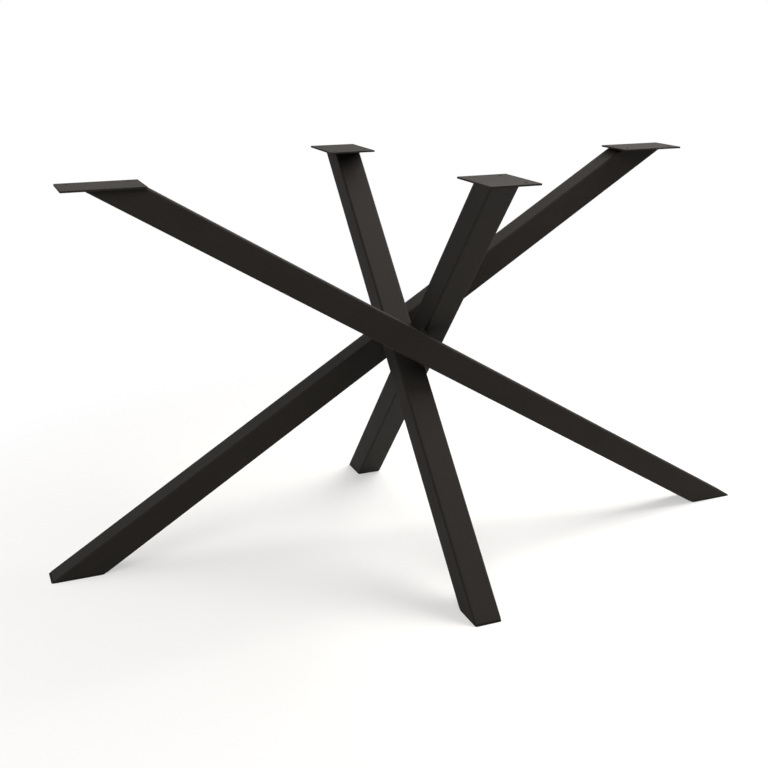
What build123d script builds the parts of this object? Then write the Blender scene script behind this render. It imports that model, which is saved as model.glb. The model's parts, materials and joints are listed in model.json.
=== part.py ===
from build123d import *
import os
from math import hypot

# Driving dimensions of the table base, in millimetres.
# X runs along the long tubes, Y along the short tubes, Z up; the origin is on the floor under the crossing.
height = 720.0              # floor to the top faces of the plates, where the table top lies
crossing_height = 390.0     # floor to the point where all four tube axes cross, seen from the side
long_foot_run = 630.0       # long tube: crossing to its axis on the floor, along X
short_foot_run = 361.0      # short tube: crossing to its axis on the floor, along Y
tube_width = 50.0           # square steel tube, across the flats
tube_wall = 2.0
tube_corner = 4.0           # outside corner radius of the tube
least_inner_corner = 0.5    # smallest inside corner radius that the tube can have
seat_gap = 0.3              # weld gap between a long tube and the short tubes that it lies against
plate_length = 130.0        # top plate, along its tube
plate_width = 90.0          # top plate, across its tube
plate_thickness = 3.0
plate_front_left = 8.0      # left plate, past the front face of its tube; the plates were set by hand
plate_inner_right = 20.0    # right plate, past the upper edge of its tube, towards the crossing
plate_side_back = 11.0      # back plate, past the right face of its tube
plate_corner = 2.0          # corner radius of the plate's outline
plate_edge = 0.4            # broken edge round the plate's top face
screw_hole = 7.0            # diameter of the screw holes in the plates
screw_hole_end = 18.0       # hole centre to the plate's end
plate_weld_leg = 3.0        # fillet weld between tube and plate
plate_weld_toe = 0.6        # thickness of that weld where it runs out on the tube
plate_weld_stop = 12.0      # distance at which it stops short of a face that is flush with the plate
cross_weld_radius = 9.0     # weld where a long tube touches a short tube
cross_weld_reach = 12.0     # depth of that weld on either side of the touching point
core_weld_leg = 4.0         # weld between the two short tubes, up the flat face
core_weld_foot = 3.0        # the same weld's foot on the face beside the rounded edge
core_weld_stop = 3.0        # distance at which it stops short of the rounded edges that it runs between
cap_flange = 3.0            # plastic foot cap: flange under the tube's end
cap_setback = 0.5           # flange's edge inside the tube's outline
cap_plug = 22.0             # plug's height inside the tube
cap_wall = 2.5              # plug's wall
cap_clearance = 0.3         # plug to the tube's inner face

# Working heights and the directions of the tubes
tube_top = height - plate_thickness
rise = tube_top - crossing_height
half_tube = tube_width / 2
bore_width = tube_width - 2 * tube_wall
bore_corner = max(tube_corner - tube_wall, least_inner_corner)
crossing = Vector(0, 0, crossing_height)
long_down = Vector(long_foot_run, 0, -crossing_height).normalized()
short_down = Vector(0, short_foot_run, -crossing_height).normalized()

# The short tubes lie side by side and touch at X = 0
short_offset = half_tube

# A long tube rests in the notch between the two short tubes. There its rounded upper edge meets
# the rounded front edge of the right short tube: two round edges, one tube_corner each, at an angle.
# Their centre lines are two corner radii and the weld gap apart, which gives the long tube's offset.
edge_inset = half_tube - tube_corner
long_up = Vector(crossing_height, 0, long_foot_run).normalized()
short_under = Vector(0, -crossing_height, -short_foot_run).normalized()
seat_normal = long_down.cross(short_down).normalized()
long_edge = (long_up + Vector(0, 1, 0)) * edge_inset
short_edge = Vector(short_offset, 0, 0) + (Vector(-1, 0, 0) + short_under) * edge_inset
seat_distance = 2 * tube_corner + seat_gap
long_offset = (seat_distance - (short_edge - long_edge).dot(seat_normal)) / seat_normal.Y


def rounded_square(width, radius):
    return RectangleRounded(width, width, radius)


def slab(bottom, top):
    """A flat block over the whole floor plan between two heights."""
    span = 4 * (long_foot_run + short_foot_run + height)
    return Pos(0, 0, (bottom + top) / 2) * Box(span, span, top - bottom)


def bar(run, offset, section, bottom, top):
    """A bar of the given section along a tube's axis, with level ends at the two heights."""
    down = Vector(run, 0, -crossing_height)
    place = Plane(origin=(0, offset, crossing_height), x_dir=(0, 1, 0), z_dir=down.normalized())
    half_length = hypot(run, crossing_height) * height / crossing_height
    return extrude(place * section, half_length, both=True) & slab(bottom, top)


def tube(run, offset):
    outside = bar(run, offset, rounded_square(tube_width, tube_corner), cap_flange, tube_top)
    bore = bar(run, offset, rounded_square(bore_width, bore_corner), 0, height)
    return outside - bore


def plate(u, v, hole_v):
    """A top plate with two screw holes along the line hole_v."""
    body = extrude(RectangleRounded(plate_length, plate_width, plate_corner), plate_thickness)
    body = chamfer(body.faces().sort_by(Axis.Z)[-1].edges(), plate_edge)
    hole_u = plate_length / 2 - screw_hole_end
    for side in (-1, 1):
        body -= Pos(side * hole_u, hole_v, plate_thickness / 2) * Cylinder(screw_hole / 2, 2 * plate_thickness)
    return Pos(u, v, tube_top) * body


def plate_weld(run, offset, flush_end, flush_side, top_u, half_cut):
    """A fillet weld under the plate along the two faces of the tube that the plate overhangs most."""
    slope = run / crossing_height

    def block_face(depth, growth):
        end_flush = top_u + flush_end * (half_cut - plate_weld_stop)
        end_free = top_u - flush_end * (half_cut + growth)
        side_flush = offset + flush_side * (half_tube - plate_weld_stop)
        side_free = offset - flush_side * (half_tube + growth)
        middle = Pos((end_flush + end_free) / 2 + depth * slope, (side_flush + side_free) / 2, tube_top - depth)
        return middle * Rectangle(abs(end_flush - end_free), abs(side_flush - side_free))

    block = loft([block_face(plate_weld_leg, plate_weld_toe), block_face(0, plate_weld_leg)], ruled=True)
    return block - bar(run, offset, rounded_square(tube_width, tube_corner), 0, height)


def foot_cap(run, offset):
    """A plastic cap: a flange under the tube's cut end and a hollow plug inside the tube."""
    flange_width = tube_width - 2 * cap_setback
    plug_width = bore_width - 2 * cap_clearance
    well_width = plug_width - 2 * cap_wall
    plug_corner = max(bore_corner - cap_clearance, least_inner_corner)
    well_corner = max(plug_corner - cap_wall, least_inner_corner)
    plug_top = cap_flange + cap_plug
    flange = bar(run, offset, rounded_square(flange_width, tube_corner - cap_setback), 0, cap_flange)
    plug = bar(run, offset, rounded_square(plug_width, plug_corner), cap_flange, plug_top)
    well = bar(run, offset, rounded_square(well_width, well_corner), cap_flange, plug_top)
    return flange + (plug - well)


def arm(run, offset, flush_end, flush_side, end_overhang=0.0, side_overhang=0.0):
    """One tube with its plate, weld and foot cap, running down along +X at Y = offset.

    The plate's end is flush with the tube's cut on the side flush_end, +1 towards the foot,
    and its long edge is flush with the tube's face on the side flush_side, +1 towards +Y,
    or stands past them by the overhangs. Its screw holes are in the middle of its free strip.
    """
    top_u = -run * rise / crossing_height
    half_cut = half_tube * hypot(run, crossing_height) / crossing_height
    plate_u = top_u + flush_end * (half_cut - plate_length / 2 + end_overhang)
    plate_v = offset + flush_side * (half_tube - plate_width / 2 + side_overhang)
    hole_v = -flush_side * (tube_width + side_overhang) / 2
    return {
        "tube": tube(run, offset),
        "top_plate": plate(plate_u, plate_v, hole_v),
        "plate_weld": plate_weld(run, offset, flush_end, flush_side, top_u, half_cut),
        "foot_cap": foot_cap(run, offset),
    }


def cross_weld():
    """The weld round the point where the front long tube touches the right short tube."""
    long_start = crossing + Vector(0, -long_offset, 0) + long_edge
    short_start = crossing + short_edge
    between = short_start - long_start
    cosine = long_down.dot(short_down)
    along = (between.dot(long_down) - cosine * between.dot(short_down)) / (1 - cosine ** 2)
    touch = long_start + long_down * along + seat_normal * (seat_distance / 2)
    blob = Plane(origin=touch, z_dir=seat_normal) * Cylinder(cross_weld_radius, 2 * cross_weld_reach)
    section = rounded_square(tube_width, tube_corner)
    long_bar = bar(long_foot_run, -long_offset, section, 0, height)
    short_bar = Rot(0, 0, 90) * bar(short_foot_run, -short_offset, section, 0, height)
    return blob - long_bar - short_bar


def core_weld():
    """The weld in the groove between the left short tube's upper edge and the right one's flat face."""
    left_up = Vector(0, -crossing_height, short_foot_run).normalized()
    left_down = Vector(0, -short_foot_run, -crossing_height).normalized()
    cosine = left_down.dot(short_down)
    overlap = tube_width / (1 - cosine ** 2) ** 0.5
    shift = half_tube * cosine / (1 - cosine ** 2) ** 0.5
    length = overlap - 2 * (tube_corner + core_weld_stop)
    corner = crossing + left_up * half_tube - left_down * shift
    place = Plane(origin=corner, x_dir=(-1, 0, 0), z_dir=left_down)
    upward = place.y_dir.dot(left_up)
    foot = tube_corner + core_weld_foot
    outline = Polygon(
        (0, upward * core_weld_leg),
        (foot, 0),
        (foot, -upward * tube_corner),
        (0, -upward * tube_corner),
        align=None,
    )
    bead = extrude(place * outline, length / 2, both=True)
    return bead - Rot(0, 0, -90) * bar(short_foot_run, -short_offset, rounded_square(tube_width, tube_corner), 0, height)


nodes = {}

# The four arms: two long and two short, one of each kind turned half way round
quarter_turn = Rot(0, 0, 90)
half_turn = quarter_turn * quarter_turn
left_arm = arm(long_foot_run, -long_offset, flush_end=1, flush_side=-1, side_overhang=plate_front_left)
right_arm = arm(long_foot_run, -long_offset, flush_end=1, flush_side=-1, end_overhang=plate_inner_right)
front_arm = arm(short_foot_run, -short_offset, flush_end=-1, flush_side=1)
back_arm = arm(short_foot_run, -short_offset, flush_end=-1, flush_side=1, side_overhang=plate_side_back)
places = (
    (left_arm, Location(), "long_tube_front", "left", "right"),
    (right_arm, half_turn, "long_tube_back", "right", "left"),
    (front_arm, quarter_turn, "short_tube_right", "front", "back"),
    (back_arm, half_turn * quarter_turn, "short_tube_left", "back", "front"),
)
for pieces, turn, tube_name, top_side, foot_side in places:
    nodes[tube_name] = turn * pieces["tube"]
    nodes["top_plate_" + top_side] = turn * pieces["top_plate"]
    nodes["plate_weld_" + top_side] = turn * pieces["plate_weld"]
    nodes["foot_cap_" + foot_side] = turn * pieces["foot_cap"]

# The welds at the crossing: each kind is repeated below the crossing by a half turn about the
# level Y line through it, and at the back by a half turn about Z
over = Pos(0, 0, crossing_height) * Rot(0, 180, 0) * Pos(0, 0, -crossing_height)
for name, bead in (("cross_weld", cross_weld()), ("core_weld", core_weld())):
    nodes[name + "_front_upper"] = bead
    nodes[name + "_front_lower"] = over * bead
    nodes[name + "_back_upper"] = half_turn * bead
    nodes[name + "_back_lower"] = half_turn * over * bead

os.makedirs("parts", exist_ok=True)
for name, solid in nodes.items():
    export_step(solid, "parts/" + name + ".step")
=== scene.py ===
import json
import math

import bmesh
import bpy
from bpy.props import FloatProperty, FloatVectorProperty, IntProperty, PointerProperty
from mathutils import Matrix, Vector


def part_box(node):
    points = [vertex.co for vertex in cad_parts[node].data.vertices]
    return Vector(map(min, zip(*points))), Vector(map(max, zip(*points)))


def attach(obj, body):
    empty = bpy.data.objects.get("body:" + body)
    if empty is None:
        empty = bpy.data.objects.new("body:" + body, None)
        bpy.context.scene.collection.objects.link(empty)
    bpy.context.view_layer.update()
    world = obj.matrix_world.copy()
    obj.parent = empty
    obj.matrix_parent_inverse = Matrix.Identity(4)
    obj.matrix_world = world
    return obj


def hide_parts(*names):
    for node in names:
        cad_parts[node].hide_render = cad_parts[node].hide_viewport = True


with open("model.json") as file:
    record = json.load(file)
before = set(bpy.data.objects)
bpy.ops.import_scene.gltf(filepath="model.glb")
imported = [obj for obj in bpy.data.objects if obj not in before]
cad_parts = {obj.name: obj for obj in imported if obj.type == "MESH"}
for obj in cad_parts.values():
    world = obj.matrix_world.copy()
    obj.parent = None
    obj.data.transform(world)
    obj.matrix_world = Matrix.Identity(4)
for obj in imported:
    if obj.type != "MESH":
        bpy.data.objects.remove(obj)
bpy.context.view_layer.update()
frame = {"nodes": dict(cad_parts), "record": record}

bl_info = {
    "name": "Spider table base",
    "version": (1, 0, 0),
    "blender": (4, 5, 0),
    "location": "3D View > Sidebar > Table base",
    "description": "Powder coat, weld beads, foot caps and studio stage of a welded spider table base",
    "category": "Object",
}

NODES = frame["nodes"]
MOUNTS = {mount["name"]: Vector(mount["pos_m"]) for mount in frame["record"]["mounts"]}

# Each tube and the side of the base where its foot stands
TUBE_FEET = {
    "long_tube_front": "right",
    "long_tube_back": "left",
    "short_tube_left": "front",
    "short_tube_right": "back",
}
# Each plate and the corner of its tube, along X and Y, where the weld under the plate turns
WELD_CORNERS = {"left": (-1, 1), "right": (1, -1), "front": (1, 1), "back": (-1, -1)}
# Places of the welds at the crossing
CROSSING_PLACES = ("front_upper", "front_lower", "back_upper", "back_lower")
UP = Vector((0, 0, 1))

# Powder coat: the range that noise mostly fills, the shares in which the effects are mixed,
# the scale of the streaks along and across a tube, and the extra roughness over a weld
NOISE_RANGE = (0.3, 0.7)
STREAK_SHARE = 0.35
SPECKLE_SHARE = 0.3
COAT_GRIT_SHARE = 0.35
STREAK_STRETCH = (0.02, 1.0, 1.0)
WELD_ROUGHER = 0.08

# Foot caps: grain size over grit size, share of the grit, dull patches to the metre,
# and the range of noise that the patches take
CAP_GRAIN_TO_GRIT = 3
CAP_GRIT_SHARE = 0.25
CAP_PATCHES = 45.0
CAP_PATCH_RANGE = (0.35, 0.7)

# Weld beads: steps along one ripple, points where the line turns a corner, points along a section's arc,
# share of the leg at an end, and the distance within which points are merged
RIPPLE_STEPS = 8.0
CORNER_POINTS = 8
SECTION_POINTS = 12
END_SHARE = 0.55
MERGE_DISTANCE = 1e-7
# Where the arc of a section starts and how far it sweeps, under a plate and in a groove
PLATE_START = 0.0
PLATE_SWEEP = math.radians(150)
CORE_START = {"upper": math.radians(-110), "lower": math.radians(-20)}
CORE_SWEEP = math.radians(130)
# The seeds of the welds in the grooves come this far after those of the welds under the plates
CORE_SEED_STEP = 10

# Stage: the floor's sides, its gap under the feet, the scale and tone of its faint clouds,
# each light's place and width, and the point that the lights face
FLOOR_SIDES = 96
FLOOR_GAP = 0.0005
FLOOR_CLOUDS = 3.0
FLOOR_CLOUD_TONE = 0.99
WHITE = (1, 1, 1, 1)
LIGHTS = {
    "key": ((1.70, 0.0, 2.10), 1.6),
    "top": ((0.72, 0.72, 2.58), 1.6),
    "fill": ((-0.85, -1.47, 2.10), 1.6),
}
LIGHT_AIM = Vector((0, 0, 0.4))


class CoatSettings(bpy.types.PropertyGroup):
    """The powder coat on the tubes, plates and welds"""

    colour: FloatVectorProperty(
        name="Colour", description="Lighter tone of the coat", subtype="COLOR", size=4,
        default=(0.0237, 0.0210, 0.0187, 1.0), min=0.0, max=1.0)
    deep_colour: FloatVectorProperty(
        name="Deep colour", description="Darker tone of the coat, in its thicker patches", subtype="COLOR",
        size=4, default=(0.0169, 0.0150, 0.0133, 1.0), min=0.0, max=1.0)
    roughness: FloatProperty(
        name="Roughness", description="Mean roughness of the coat", subtype="FACTOR",
        default=0.70, min=0.0, max=1.0)
    roughness_spread: FloatProperty(
        name="Roughness spread", description="Change of roughness from patch to patch", subtype="FACTOR",
        default=0.12, min=0.0, max=1.0)
    shine: FloatProperty(
        name="Shine", description="Strength of the mirror part of the coat", subtype="FACTOR",
        default=0.08, min=0.0, max=1.0)
    patch_size: FloatProperty(
        name="Patch size", description="Size of the cloudy patches in the coat", unit="LENGTH",
        default=0.070, min=0.001)
    streak_size: FloatProperty(
        name="Streak size", description="Width of the faint drawing streaks along a tube", unit="LENGTH",
        default=0.005, min=0.0005)
    peel_size: FloatProperty(
        name="Peel size", description="Size of the soft waves of the sprayed coat", unit="LENGTH",
        default=0.0022, min=0.0001)
    peel_depth: FloatProperty(
        name="Peel depth", description="Height of the waves and the grit of the coat", unit="LENGTH",
        default=0.00006, min=0.0)
    grit_size: FloatProperty(
        name="Grit size", description="Size of the fine grit of the powder", unit="LENGTH",
        default=0.0007, min=0.0001)


class WeldSettings(bpy.types.PropertyGroup):
    """The weld beads under the plates and in the grooves between the short tubes"""

    plate_leg: FloatProperty(
        name="Leg under a plate", description="Leg of a weld under a plate, from the corner to its edge",
        unit="LENGTH", default=0.003, min=0.001)
    core_leg: FloatProperty(
        name="Leg in a groove",
        description="Leg of a weld between the short tubes, from the corner to its edge",
        unit="LENGTH", default=0.004, min=0.001)
    pitch: FloatProperty(
        name="Ripple pitch", description="Distance from one ripple of the bead to the next", unit="LENGTH",
        default=0.0028, min=0.0005)
    depth: FloatProperty(
        name="Ripple depth", description="Depth of the grooves between ripples, as a share of the leg",
        subtype="FACTOR", default=0.16, min=0.0, max=0.5)
    crescent: FloatProperty(
        name="Crescent", description="How far the middle of a ripple runs ahead of its ends", unit="LENGTH",
        default=0.0016, min=0.0)
    unevenness: FloatProperty(
        name="Unevenness", description="Change of size from ripple to ripple, as a share of the leg",
        subtype="FACTOR", default=0.07, min=0.0, max=0.5)
    corner: FloatProperty(
        name="Corner radius", description="Radius at which the bead turns round a tube's corner",
        unit="LENGTH", default=0.005, min=0.0)
    seed: IntProperty(
        name="Seed", description="Seed of the uneven ripples", default=7, min=0)


class CapSettings(bpy.types.PropertyGroup):
    """The plastic caps in the feet"""

    colour: FloatVectorProperty(
        name="Colour", description="Colour of the plastic", subtype="COLOR", size=4,
        default=(0.007, 0.007, 0.007, 1.0), min=0.0, max=1.0)
    dull_colour: FloatVectorProperty(
        name="Dull colour", description="Colour of the plastic where the mould left it duller",
        subtype="COLOR", size=4, default=(0.012, 0.012, 0.0115, 1.0), min=0.0, max=1.0)
    roughness: FloatProperty(
        name="Roughness", description="Roughness of the plastic", subtype="FACTOR",
        default=0.62, min=0.0, max=1.0)
    dull_roughness: FloatProperty(
        name="Dull roughness", description="Roughness of the plastic in its duller patches", subtype="FACTOR",
        default=0.78, min=0.0, max=1.0)
    shine: FloatProperty(
        name="Shine", description="Strength of the mirror part of the plastic", subtype="FACTOR",
        default=0.05, min=0.0, max=1.0)
    grain_size: FloatProperty(
        name="Grain size", description="Size of the moulded grain", unit="LENGTH", default=0.0011, min=0.0001)
    grain_depth: FloatProperty(
        name="Grain depth", description="Depth of the moulded grain", unit="LENGTH", default=0.00008, min=0.0)


class StageSettings(bpy.types.PropertyGroup):
    """The floor, the studio light and the camera"""

    floor_radius: FloatProperty(
        name="Floor radius", description="Radius of the round floor", unit="LENGTH", default=6.0, min=1.0)
    floor_colour: FloatVectorProperty(
        name="Floor colour", description="Colour of the pale floor", subtype="COLOR", size=4,
        default=(0.93, 0.93, 0.92, 1.0), min=0.0, max=1.0)
    floor_lift: FloatProperty(
        name="Floor lift", description="Share of plain white in the floor near the base, also in its shadows",
        subtype="FACTOR", default=0.5, min=0.0, max=1.0)
    fade_start: FloatProperty(
        name="Fade start", description="Distance from the middle at which the floor begins to fade to white",
        unit="LENGTH", default=0.5, min=0.0)
    fade_end: FloatProperty(
        name="Fade end", description="Distance from the middle at which the floor is white",
        unit="LENGTH", default=1.3, min=0.0)
    room_level: FloatProperty(
        name="Room level", description="Even light of the room, which itself shows as white",
        subtype="FACTOR", default=0.08, min=0.0, max=1.0)
    light_colour: FloatVectorProperty(
        name="Light colour", description="Colour of the soft lights", subtype="COLOR", size=3,
        default=(1.0, 0.965, 0.925), min=0.0, max=1.0)
    key_power: FloatProperty(
        name="Key power", description="Power of the large soft light above on the right", unit="POWER",
        default=79.0, min=0.0)
    top_power: FloatProperty(
        name="Top power", description="Power of the large soft light overhead", unit="POWER",
        default=27.0, min=0.0)
    fill_power: FloatProperty(
        name="Fill power",
        description="Power of the large soft light above at the front, a little to the left",
        unit="POWER", default=24.0, min=0.0)
    camera_place: FloatVectorProperty(
        name="Camera place", description="Where the camera stands", subtype="TRANSLATION", unit="LENGTH",
        default=(-0.787, -1.970, 0.976))
    camera_turn: FloatProperty(
        name="Camera turn", description="Turn of the view from straight along Y towards X", unit="ROTATION",
        default=math.radians(24.26))
    camera_tilt: FloatProperty(
        name="Camera tilt", description="Tilt of the view below the level", unit="ROTATION",
        default=math.radians(17.58))
    camera_lens: FloatProperty(
        name="Camera lens", description="Focal length for a 36 mm wide picture", unit="CAMERA",
        default=55.0, min=1.0)
    camera_shift: FloatProperty(
        name="Camera shift", description="Sideways shift of the lens, in picture widths", default=-0.10)


# Building nodes

def add(tree, kind, inputs=None, **settings):
    """A new node with its settings; each input is given a value or the output that feeds it."""
    made = tree.nodes.new(kind)
    for name, value in settings.items():
        setattr(made, name, value)
    for key, value in (inputs or {}).items():
        if isinstance(value, bpy.types.NodeSocket):
            tree.links.new(value, made.inputs[key])
        else:
            made.inputs[key].default_value = value
    return made


def calc(tree, operation, *values):
    """One step of arithmetic on values or outputs."""
    return add(tree, "ShaderNodeMath", dict(enumerate(values)), operation=operation).outputs[0]


def blend_values(tree, factor, low, high):
    mixed = add(tree, "ShaderNodeMix", {0: factor, 2: low, 3: high}, data_type="FLOAT")
    return mixed.outputs[0]


def blend_colours(tree, factor, low, high):
    mixed = add(tree, "ShaderNodeMix", {0: factor, 6: low, 7: high}, data_type="RGBA")
    return mixed.outputs[2]


def remap(tree, value, low, high):
    """Spreads the range from low to high over 0 to 1."""
    spread = add(tree, "ShaderNodeMapRange", {"Value": value, "From Min": low, "From Max": high})
    return spread.outputs["Result"]


def new_group(name, kind, inputs, outputs):
    """An empty node group with named sockets, and its two end nodes."""
    tree = bpy.data.node_groups.new(name, kind)
    for title, socket in inputs:
        tree.interface.new_socket(name=title, in_out="INPUT", socket_type="NodeSocket" + socket)
    for title, socket in outputs:
        tree.interface.new_socket(name=title, in_out="OUTPUT", socket_type="NodeSocket" + socket)
    return tree, tree.nodes.new("NodeGroupInput").outputs, tree.nodes.new("NodeGroupOutput").inputs


def noise(tree, vector, size, detail):
    scale = calc(tree, "DIVIDE", 1.0, size)
    texture = add(tree, "ShaderNodeTexNoise", {"Vector": vector, "Scale": scale, "Detail": detail})
    return texture.outputs["Fac"]


# Shared surface effects

def powder_grain():
    """Soft waves and fine grit, as on sprayed powder and on moulded plastic."""
    if "Powder grain" in bpy.data.node_groups:
        return bpy.data.node_groups["Powder grain"]
    tree, given, result = new_group(
        "Powder grain", "ShaderNodeTree",
        [("Vector", "Vector"), ("Peel Size", "Float"), ("Grit Size", "Float"), ("Grit Share", "Float")],
        [("Height", "Float"), ("Speckle", "Float")])
    peel = noise(tree, given["Vector"], given["Peel Size"], detail=1.0)
    grit = noise(tree, given["Vector"], given["Grit Size"], detail=2.0)
    tree.links.new(blend_values(tree, given["Grit Share"], peel, grit), result["Height"])
    tree.links.new(remap(tree, grit, *NOISE_RANGE), result["Speckle"])
    return tree


def coat_tone():
    """Cloudy patches, streaks along the steel and speckle, as one colour and one roughness."""
    if "Coat tone" in bpy.data.node_groups:
        return bpy.data.node_groups["Coat tone"]
    tree, given, result = new_group(
        "Coat tone", "ShaderNodeTree",
        [("Vector", "Vector"), ("Colour", "Color"), ("Deep Colour", "Color"), ("Patch Size", "Float"),
         ("Streak Size", "Float"), ("Speckle", "Float"), ("Roughness", "Float"),
         ("Roughness Spread", "Float")],
        [("Colour", "Color"), ("Roughness", "Float")])
    patches = remap(tree, noise(tree, given["Vector"], given["Patch Size"], detail=3.0), *NOISE_RANGE)
    drawn_out = add(tree, "ShaderNodeVectorMath", {0: given["Vector"], 1: STREAK_STRETCH},
                    operation="MULTIPLY")
    streaks = remap(tree, noise(tree, drawn_out.outputs[0], given["Streak Size"], detail=2.0), *NOISE_RANGE)
    cloud = blend_values(tree, STREAK_SHARE, patches, streaks)
    tone = blend_values(tree, SPECKLE_SHARE, cloud, given["Speckle"])
    tree.links.new(blend_colours(tree, tone, given["Deep Colour"], given["Colour"]), result["Colour"])
    lift = calc(tree, "SUBTRACT", cloud, 0.5)
    rough = calc(tree, "MULTIPLY_ADD", lift, given["Roughness Spread"], given["Roughness"])
    tree.links.new(rough, result["Roughness"])
    return tree


# Materials

def new_material(name):
    """A material with only its Principled shader and output."""
    material = bpy.data.materials.new(name)
    material.use_nodes = True
    return material, material.node_tree, material.node_tree.nodes["Principled BSDF"].inputs


def surface_relief(tree, surface, height, depth):
    relief = add(tree, "ShaderNodeBump", {"Height": height, "Strength": 1.0, "Distance": depth})
    tree.links.new(relief.outputs["Normal"], surface["Normal"])


def coat_material(name, coat, place=None, rougher=0.0):
    """Powder coat; place turns the pattern along a tube."""
    material, tree, surface = new_material(name)
    vector = add(tree, "ShaderNodeTexCoord").outputs["Object"]
    if place is not None:
        turn, shift = place
        mapping = {"Vector": vector, "Rotation": turn, "Location": shift}
        vector = add(tree, "ShaderNodeMapping", mapping).outputs[0]
    grain = add(tree, "ShaderNodeGroup", {
        "Vector": vector, "Peel Size": coat.peel_size, "Grit Size": coat.grit_size,
        "Grit Share": COAT_GRIT_SHARE,
    }, node_tree=powder_grain())
    tone = add(tree, "ShaderNodeGroup", {
        "Vector": vector, "Colour": coat.colour, "Deep Colour": coat.deep_colour,
        "Patch Size": coat.patch_size, "Streak Size": coat.streak_size, "Speckle": grain.outputs["Speckle"],
        "Roughness": coat.roughness + rougher, "Roughness Spread": coat.roughness_spread,
    }, node_tree=coat_tone())
    tree.links.new(tone.outputs["Colour"], surface["Base Color"])
    tree.links.new(tone.outputs["Roughness"], surface["Roughness"])
    surface["Specular IOR Level"].default_value = coat.shine
    surface_relief(tree, surface, grain.outputs["Height"], coat.peel_depth)
    return material


def cap_material(cap):
    """Black moulded plastic with a fine leathery grain and duller patches."""
    material, tree, surface = new_material("foot cap plastic")
    vector = add(tree, "ShaderNodeTexCoord").outputs["Object"]
    grain = add(tree, "ShaderNodeGroup", {
        "Vector": vector, "Peel Size": cap.grain_size, "Grit Size": cap.grain_size / CAP_GRAIN_TO_GRIT,
        "Grit Share": CAP_GRIT_SHARE,
    }, node_tree=powder_grain())
    patches = add(tree, "ShaderNodeTexNoise", {"Vector": vector, "Scale": CAP_PATCHES, "Detail": 3.0})
    dull = remap(tree, patches.outputs["Fac"], *CAP_PATCH_RANGE)
    tree.links.new(blend_colours(tree, dull, cap.colour, cap.dull_colour), surface["Base Color"])
    tree.links.new(blend_values(tree, dull, cap.roughness, cap.dull_roughness), surface["Roughness"])
    surface["Specular IOR Level"].default_value = cap.shine
    surface_relief(tree, surface, grain.outputs["Height"], cap.grain_depth)
    return material


def set_finish(node_name, material):
    """Puts a material in every slot of a CAD node."""
    for slot in NODES[node_name].material_slots:
        slot.material = material


def tube_place(tube):
    """The turn and shift that bring a tube's length onto X, from its box and its foot."""
    low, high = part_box(tube)
    middle = (low + high) / 2
    along = (MOUNTS["floor_face_" + TUBE_FEET[tube]] - middle).normalized()
    across = UP.cross(along).normalized()
    turned = Matrix((along, across, along.cross(across)))
    return turned.to_euler(), -(turned @ middle)


# Weld beads

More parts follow.
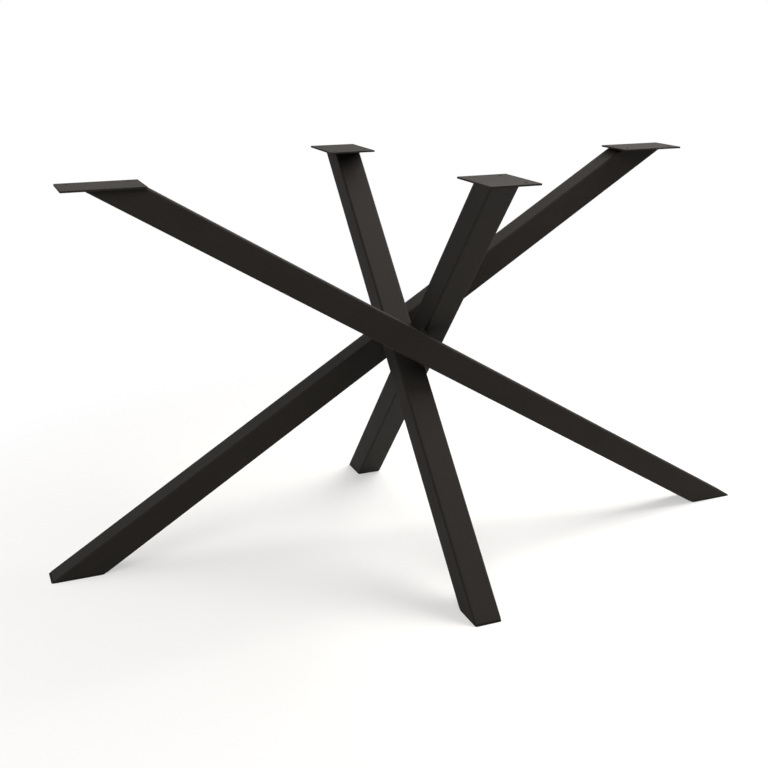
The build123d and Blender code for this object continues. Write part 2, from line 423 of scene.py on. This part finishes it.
def bead_tree():
    """Geometry nodes that run a rippled bead along a path of edges."""
    tree, given, result = new_group(
        "Weld bead", "GeometryNodeTree",
        [("Path", "Geometry"), ("Leg", "Float"), ("Ripple Pitch", "Float"), ("Ripple Depth", "Float"),
         ("Crescent", "Float"), ("Unevenness", "Float"), ("Corner Radius", "Float"), ("Start Angle", "Float"),
         ("Sweep Angle", "Float"), ("Seed", "Int"), ("Coat", "Material")],
        [("Bead", "Geometry")])
    line = add(tree, "GeometryNodeMeshToCurve", {"Mesh": given["Path"]})
    turned = add(tree, "GeometryNodeFilletCurve",
                 {"Curve": line.outputs[0], "Radius": given["Corner Radius"], "Count": CORNER_POINTS,
                  "Limit Radius": True}, mode="POLY")
    step = calc(tree, "DIVIDE", given["Ripple Pitch"], RIPPLE_STEPS)
    fine = add(tree, "GeometryNodeResampleCurve", {"Curve": turned.outputs[0], "Length": step}, mode="LENGTH")
    level = add(tree, "GeometryNodeSetCurveNormal", {"Curve": fine.outputs[0]}, mode="Z_UP")
    with_heading = add(tree, "GeometryNodeCaptureAttribute")
    with_heading.capture_items.new("VECTOR", "Heading")
    tree.links.new(level.outputs[0], with_heading.inputs["Geometry"])
    tree.links.new(add(tree, "GeometryNodeInputTangent").outputs[0], with_heading.inputs["Heading"])

    # Each ripple is a low arch between two grooves, a little larger or smaller than the next
    run = add(tree, "GeometryNodeSplineParameter").outputs["Length"]
    total = add(tree, "GeometryNodeSplineLength").outputs["Length"]
    count = calc(tree, "DIVIDE", run, given["Ripple Pitch"])
    arch = calc(tree, "MULTIPLY_ADD", calc(tree, "FRACT", count), 2.0, -1.0)
    groove = calc(tree, "MULTIPLY", calc(tree, "POWER", arch, 2.0), given["Ripple Depth"])
    spread = add(tree, "FunctionNodeRandomValue",
                 {2: calc(tree, "SUBTRACT", 0.0, given["Unevenness"]), 3: given["Unevenness"],
                  "ID": calc(tree, "FLOOR", count), "Seed": given["Seed"]}, data_type="FLOAT")
    size = calc(tree, "SUBTRACT", calc(tree, "ADD", 1.0, spread.outputs[1]), groove)
    from_end = calc(tree, "MINIMUM", run, calc(tree, "SUBTRACT", total, run))
    ending = add(tree, "ShaderNodeMapRange",
                 {"Value": from_end, "From Min": 0.0, "From Max": given["Leg"],
                  "To Min": END_SHARE, "To Max": 1.0},
                 interpolation_type="SMOOTHSTEP").outputs["Result"]
    radius = calc(tree, "MULTIPLY", calc(tree, "MULTIPLY", size, ending), given["Leg"])

    section = add(tree, "GeometryNodeCurveArc",
                  {"Resolution": SECTION_POINTS, "Radius": 1.0, "Start Angle": given["Start Angle"],
                   "Sweep Angle": given["Sweep Angle"], "Connect Center": True}, mode="RADIUS")
    with_turn = add(tree, "GeometryNodeCaptureAttribute")
    with_turn.capture_items.new("FLOAT", "Turn")
    tree.links.new(section.outputs["Curve"], with_turn.inputs["Geometry"])
    tree.links.new(add(tree, "GeometryNodeSplineParameter").outputs["Factor"], with_turn.inputs["Turn"])
    bead = add(tree, "GeometryNodeCurveToMesh",
               {"Curve": with_heading.outputs["Geometry"], "Profile Curve": with_turn.outputs["Geometry"],
                "Scale": radius, "Fill Caps": True})

    # The middle of the section's arc runs ahead, so that the ripples are crescents;
    # the section's outline is that arc and two straight radii
    round_share = calc(tree, "DIVIDE", given["Sweep Angle"], calc(tree, "ADD", given["Sweep Angle"], 2.0))
    around = calc(tree, "MULTIPLY", calc(tree, "DIVIDE", with_turn.outputs["Turn"], round_share), math.pi)
    ahead = calc(tree, "MULTIPLY", calc(tree, "MAXIMUM", calc(tree, "SINE", around), 0.0), given["Crescent"])
    offset = add(tree, "ShaderNodeVectorMath", {0: with_heading.outputs["Heading"], "Scale": ahead},
                 operation="SCALE")
    bowed = add(tree, "GeometryNodeSetPosition", {"Geometry": bead.outputs[0], "Offset": offset.outputs[0]})
    smooth = add(tree, "GeometryNodeSetShadeSmooth", {"Geometry": bowed.outputs[0]})
    whole = add(tree, "GeometryNodeRealizeInstances", {"Geometry": smooth.outputs[0]})
    coated = add(tree, "GeometryNodeSetMaterial", {"Geometry": whole.outputs[0], "Material": given["Coat"]})
    tree.links.new(coated.outputs[0], result["Bead"])
    return tree


def lay_bead(name, node_name, tree, path, values):
    """Runs a bead along the path as a plain mesh that stands for a weld node."""
    mesh = bpy.data.meshes.new(name)
    mesh.from_pydata(path, [(i, i + 1) for i in range(len(path) - 1)], [])
    piece = bpy.data.objects.new(name, mesh)
    bpy.context.scene.collection.objects.link(piece)
    modifier = piece.modifiers.new("Weld bead", "NODES")
    modifier.node_group = tree
    for item in tree.interface.items_tree:
        if item.in_out == "INPUT" and item.name in values:
            modifier[item.identifier] = values[item.name]
    evaluated = piece.evaluated_get(bpy.context.evaluated_depsgraph_get())
    bead = bpy.data.meshes.new_from_object(evaluated)
    if not bead.polygons:
        raise RuntimeError("the weld " + name + " came out empty")
    piece.modifiers.remove(modifier)
    piece.data = bead
    shell = bmesh.new()
    shell.from_mesh(bead)
    bmesh.ops.remove_doubles(shell, verts=shell.verts, dist=MERGE_DISTANCE)
    bmesh.ops.recalc_face_normals(shell, faces=shell.faces)
    shell.to_mesh(bead)
    shell.free()
    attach(piece, "root")
    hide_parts(node_name)


def plate_weld_path(side, leg):
    """The corner line under a plate: along one free face of the tube and round to the other."""
    low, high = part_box("plate_weld_" + side)
    at_x, at_y = WELD_CORNERS[side]
    face_x = high.x - leg if at_x > 0 else low.x + leg
    face_y = high.y - leg if at_y > 0 else low.y + leg
    far_x = low.x if at_x > 0 else high.x
    far_y = low.y if at_y > 0 else high.y
    path = [(far_x, face_y, high.z), (face_x, face_y, high.z), (face_x, far_y, high.z)]
    return path[::-1] if at_x == at_y else path


def core_weld_path(place, leg):
    """The line in the groove between the short tubes, from its weld node's box."""
    low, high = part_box("core_weld_" + place)
    middle = (low + high) / 2
    left_middle = sum(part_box("short_tube_left"), Vector()) / 2
    slope = MOUNTS["floor_face_front"] - left_middle
    along = Vector((0, slope.y, slope.z)).normalized()
    if middle.x > 0:
        along.y = -along.y
    half_length = ((high.z - low.z) - 2 * leg * abs(along.y)) / (2 * abs(along.z))
    start = Vector((0, middle.y, middle.z))
    return [start - along * half_length, start + along * half_length]


# Stage

def floor_material(stage):
    """A pale floor that keeps soft shadows near the base and fades to white further out."""
    material, tree, _ = new_material("studio floor")
    tree.nodes.remove(tree.nodes["Principled BSDF"])
    place = add(tree, "ShaderNodeTexCoord").outputs["Object"]
    distance = add(tree, "ShaderNodeVectorMath", {0: place}, operation="LENGTH").outputs["Value"]
    far = add(tree, "ShaderNodeMapRange",
              {"Value": distance, "From Min": stage.fade_start, "From Max": stage.fade_end},
              interpolation_type="SMOOTHSTEP").outputs["Result"]
    clouds = add(tree, "ShaderNodeTexNoise", {"Vector": place, "Scale": FLOOR_CLOUDS, "Detail": 4.0})
    cloud_colour = [FLOOR_CLOUD_TONE * part for part in stage.floor_colour]
    paint = blend_colours(tree, clouds.outputs["Fac"], stage.floor_colour, cloud_colour)
    lit = add(tree, "ShaderNodeBsdfDiffuse", {"Color": paint}).outputs[0]
    white = add(tree, "ShaderNodeEmission", {"Color": WHITE, "Strength": 1.0}).outputs[0]
    share = blend_values(tree, far, stage.floor_lift, 1.0)
    shown = add(tree, "ShaderNodeMixShader", {0: share, 1: lit, 2: white}).outputs[0]
    seen = seen_directly(tree)
    above = add(tree, "ShaderNodeMixShader", {0: seen, 1: lit, 2: shown}).outputs[0]
    below = add(tree, "ShaderNodeBsdfTransparent").outputs[0]
    behind = add(tree, "ShaderNodeNewGeometry").outputs["Backfacing"]
    either = add(tree, "ShaderNodeMixShader", {0: behind, 1: above, 2: below}).outputs[0]
    tree.links.new(either, tree.nodes["Material Output"].inputs["Surface"])
    return material


def seen_directly(tree):
    """1 for rays from the camera, from gloss and through glass, 0 for the light of the room."""
    path = add(tree, "ShaderNodeLightPath").outputs
    gloss = calc(tree, "MAXIMUM", path["Is Glossy Ray"], path["Is Transmission Ray"])
    return calc(tree, "MAXIMUM", path["Is Camera Ray"], gloss)


def studio_room(stage):
    """A room that shows as white and gives a little even light."""
    world = bpy.data.worlds.new("studio room")
    bpy.context.scene.world = world
    world.use_nodes = True
    tree = world.node_tree
    background = tree.nodes["Background"].inputs
    background["Color"].default_value = WHITE
    tree.links.new(blend_values(tree, seen_directly(tree), stage.room_level, 1.0), background["Strength"])


def soft_light(name, place, size, power, colour):
    """A square light that faces the base."""
    light = bpy.data.lights.new(name, "AREA")
    light.size = size
    light.energy = power
    light.color = colour
    lamp = bpy.data.objects.new(name, light)
    lamp.location = place
    lamp.visible_camera = False
    lamp.rotation_euler = (LIGHT_AIM - Vector(place)).to_track_quat("-Z", "Y").to_euler()
    bpy.context.scene.collection.objects.link(lamp)


def place_camera(stage):
    camera = bpy.data.objects.new("camera", bpy.data.cameras.new("camera"))
    camera.data.lens = stage.camera_lens
    camera.data.shift_x = stage.camera_shift
    camera.location = stage.camera_place
    camera.rotation_euler = (math.pi / 2 - stage.camera_tilt, 0, -stage.camera_turn)
    bpy.context.scene.collection.objects.link(camera)
    bpy.context.scene.camera = camera


class TABLEBASE_OT_coat_tubes(bpy.types.Operator):
    """Gives each tube its powder coat, with the streaks along the tube"""

    bl_idname = "table_base.coat_tubes"
    bl_label = "Coat the tubes"

    def execute(self, context):
        for tube in TUBE_FEET:
            name = tube.replace("_", " ") + " coat"
            set_finish(tube, coat_material(name, context.scene.table_base_coat, tube_place(tube)))
        return {"FINISHED"}


class TABLEBASE_OT_coat_plates(bpy.types.Operator):
    """Gives the top plates their powder coat"""

    bl_idname = "table_base.coat_plates"
    bl_label = "Coat the top plates"

    def execute(self, context):
        material = coat_material("top plate coat", context.scene.table_base_coat)
        for side in WELD_CORNERS:
            set_finish("top_plate_" + side, material)
        return {"FINISHED"}


class TABLEBASE_OT_lay_welds(bpy.types.Operator):
    """Lays rippled beads under the plates and in the grooves between the short tubes"""

    bl_idname = "table_base.lay_welds"
    bl_label = "Lay the welds"

    def execute(self, context):
        weld = context.scene.table_base_weld
        material = coat_material("weld coat", context.scene.table_base_coat, rougher=WELD_ROUGHER)
        tree = bead_tree()
        values = {
            "Ripple Pitch": weld.pitch, "Ripple Depth": weld.depth, "Crescent": weld.crescent,
            "Unevenness": weld.unevenness, "Corner Radius": weld.corner, "Coat": material,
        }
        values["Leg"] = weld.plate_leg
        for count, side in enumerate(WELD_CORNERS):
            path = plate_weld_path(side, weld.plate_leg)
            values.update({"Start Angle": PLATE_START, "Sweep Angle": PLATE_SWEEP, "Seed": weld.seed + count})
            lay_bead("plate_bead_" + side, "plate_weld_" + side, tree, path, values)
        values["Leg"] = weld.core_leg
        for count, place in enumerate(CROSSING_PLACES):
            path = core_weld_path(place, weld.core_leg)
            level = place.split("_")[1]
            seed = weld.seed + CORE_SEED_STEP + count
            values.update({"Start Angle": CORE_START[level], "Sweep Angle": CORE_SWEEP, "Seed": seed})
            lay_bead("core_bead_" + place, "core_weld_" + place, tree, path, values)
        for place in CROSSING_PLACES:
            set_finish("cross_weld_" + place, material)
        return {"FINISHED"}


class TABLEBASE_OT_finish_caps(bpy.types.Operator):
    """Gives the foot caps their moulded plastic"""

    bl_idname = "table_base.finish_caps"
    bl_label = "Finish the foot caps"

    def execute(self, context):
        material = cap_material(context.scene.table_base_cap)
        for side in TUBE_FEET.values():
            set_finish("foot_cap_" + side, material)
        return {"FINISHED"}


class TABLEBASE_OT_set_stage(bpy.types.Operator):
    """Sets up the floor, the white room, the soft lights and the camera"""

    bl_idname = "table_base.set_stage"
    bl_label = "Set the stage"

    def execute(self, context):
        stage = context.scene.table_base_stage
        context.scene.view_settings.view_transform = "Standard"
        shape = bmesh.new()
        bmesh.ops.create_circle(shape, cap_ends=True, segments=FLOOR_SIDES, radius=stage.floor_radius)
        mesh = bpy.data.meshes.new("floor")
        shape.to_mesh(mesh)
        shape.free()
        mesh.materials.append(floor_material(stage))
        floor = bpy.data.objects.new("floor", mesh)
        floor.location.z = -FLOOR_GAP
        context.scene.collection.objects.link(floor)
        studio_room(stage)
        for name, (place, size) in LIGHTS.items():
            soft_light(name + " light", place, size, getattr(stage, name + "_power"), stage.light_colour)
        place_camera(stage)
        return {"FINISHED"}


class TABLEBASE_PT_panel(bpy.types.Panel):
    """Lists the settings and steps of the table base"""

    bl_label = "Table base"
    bl_idname = "TABLEBASE_PT_panel"
    bl_space_type = "VIEW_3D"
    bl_region_type = "UI"
    bl_category = "Table base"

    def draw(self, context):
        for group in SETTINGS:
            settings = getattr(context.scene, group)
            box = self.layout.box()
            for name in settings.__annotations__:
                box.prop(settings, name)
        for step in STEPS:
            self.layout.operator(step.bl_idname)


SETTINGS = {
    "table_base_coat": CoatSettings,
    "table_base_weld": WeldSettings,
    "table_base_cap": CapSettings,
    "table_base_stage": StageSettings,
}
STEPS = (
    TABLEBASE_OT_coat_tubes,
    TABLEBASE_OT_coat_plates,
    TABLEBASE_OT_lay_welds,
    TABLEBASE_OT_finish_caps,
    TABLEBASE_OT_set_stage,
)


def register():
    for group in (*SETTINGS.values(), *STEPS, TABLEBASE_PT_panel):
        bpy.utils.register_class(group)
    for name, group in SETTINGS.items():
        setattr(bpy.types.Scene, name, PointerProperty(type=group))


def unregister():
    for name in SETTINGS:
        delattr(bpy.types.Scene, name)
    for group in (TABLEBASE_PT_panel, *reversed(STEPS), *SETTINGS.values()):
        bpy.utils.unregister_class(group)


def main():
    register()
    bpy.ops.table_base.coat_tubes()
    bpy.ops.table_base.coat_plates()
    bpy.ops.table_base.lay_welds()
    bpy.ops.table_base.finish_caps()
    bpy.ops.table_base.set_stage()


if __name__ == "__main__":
    main()
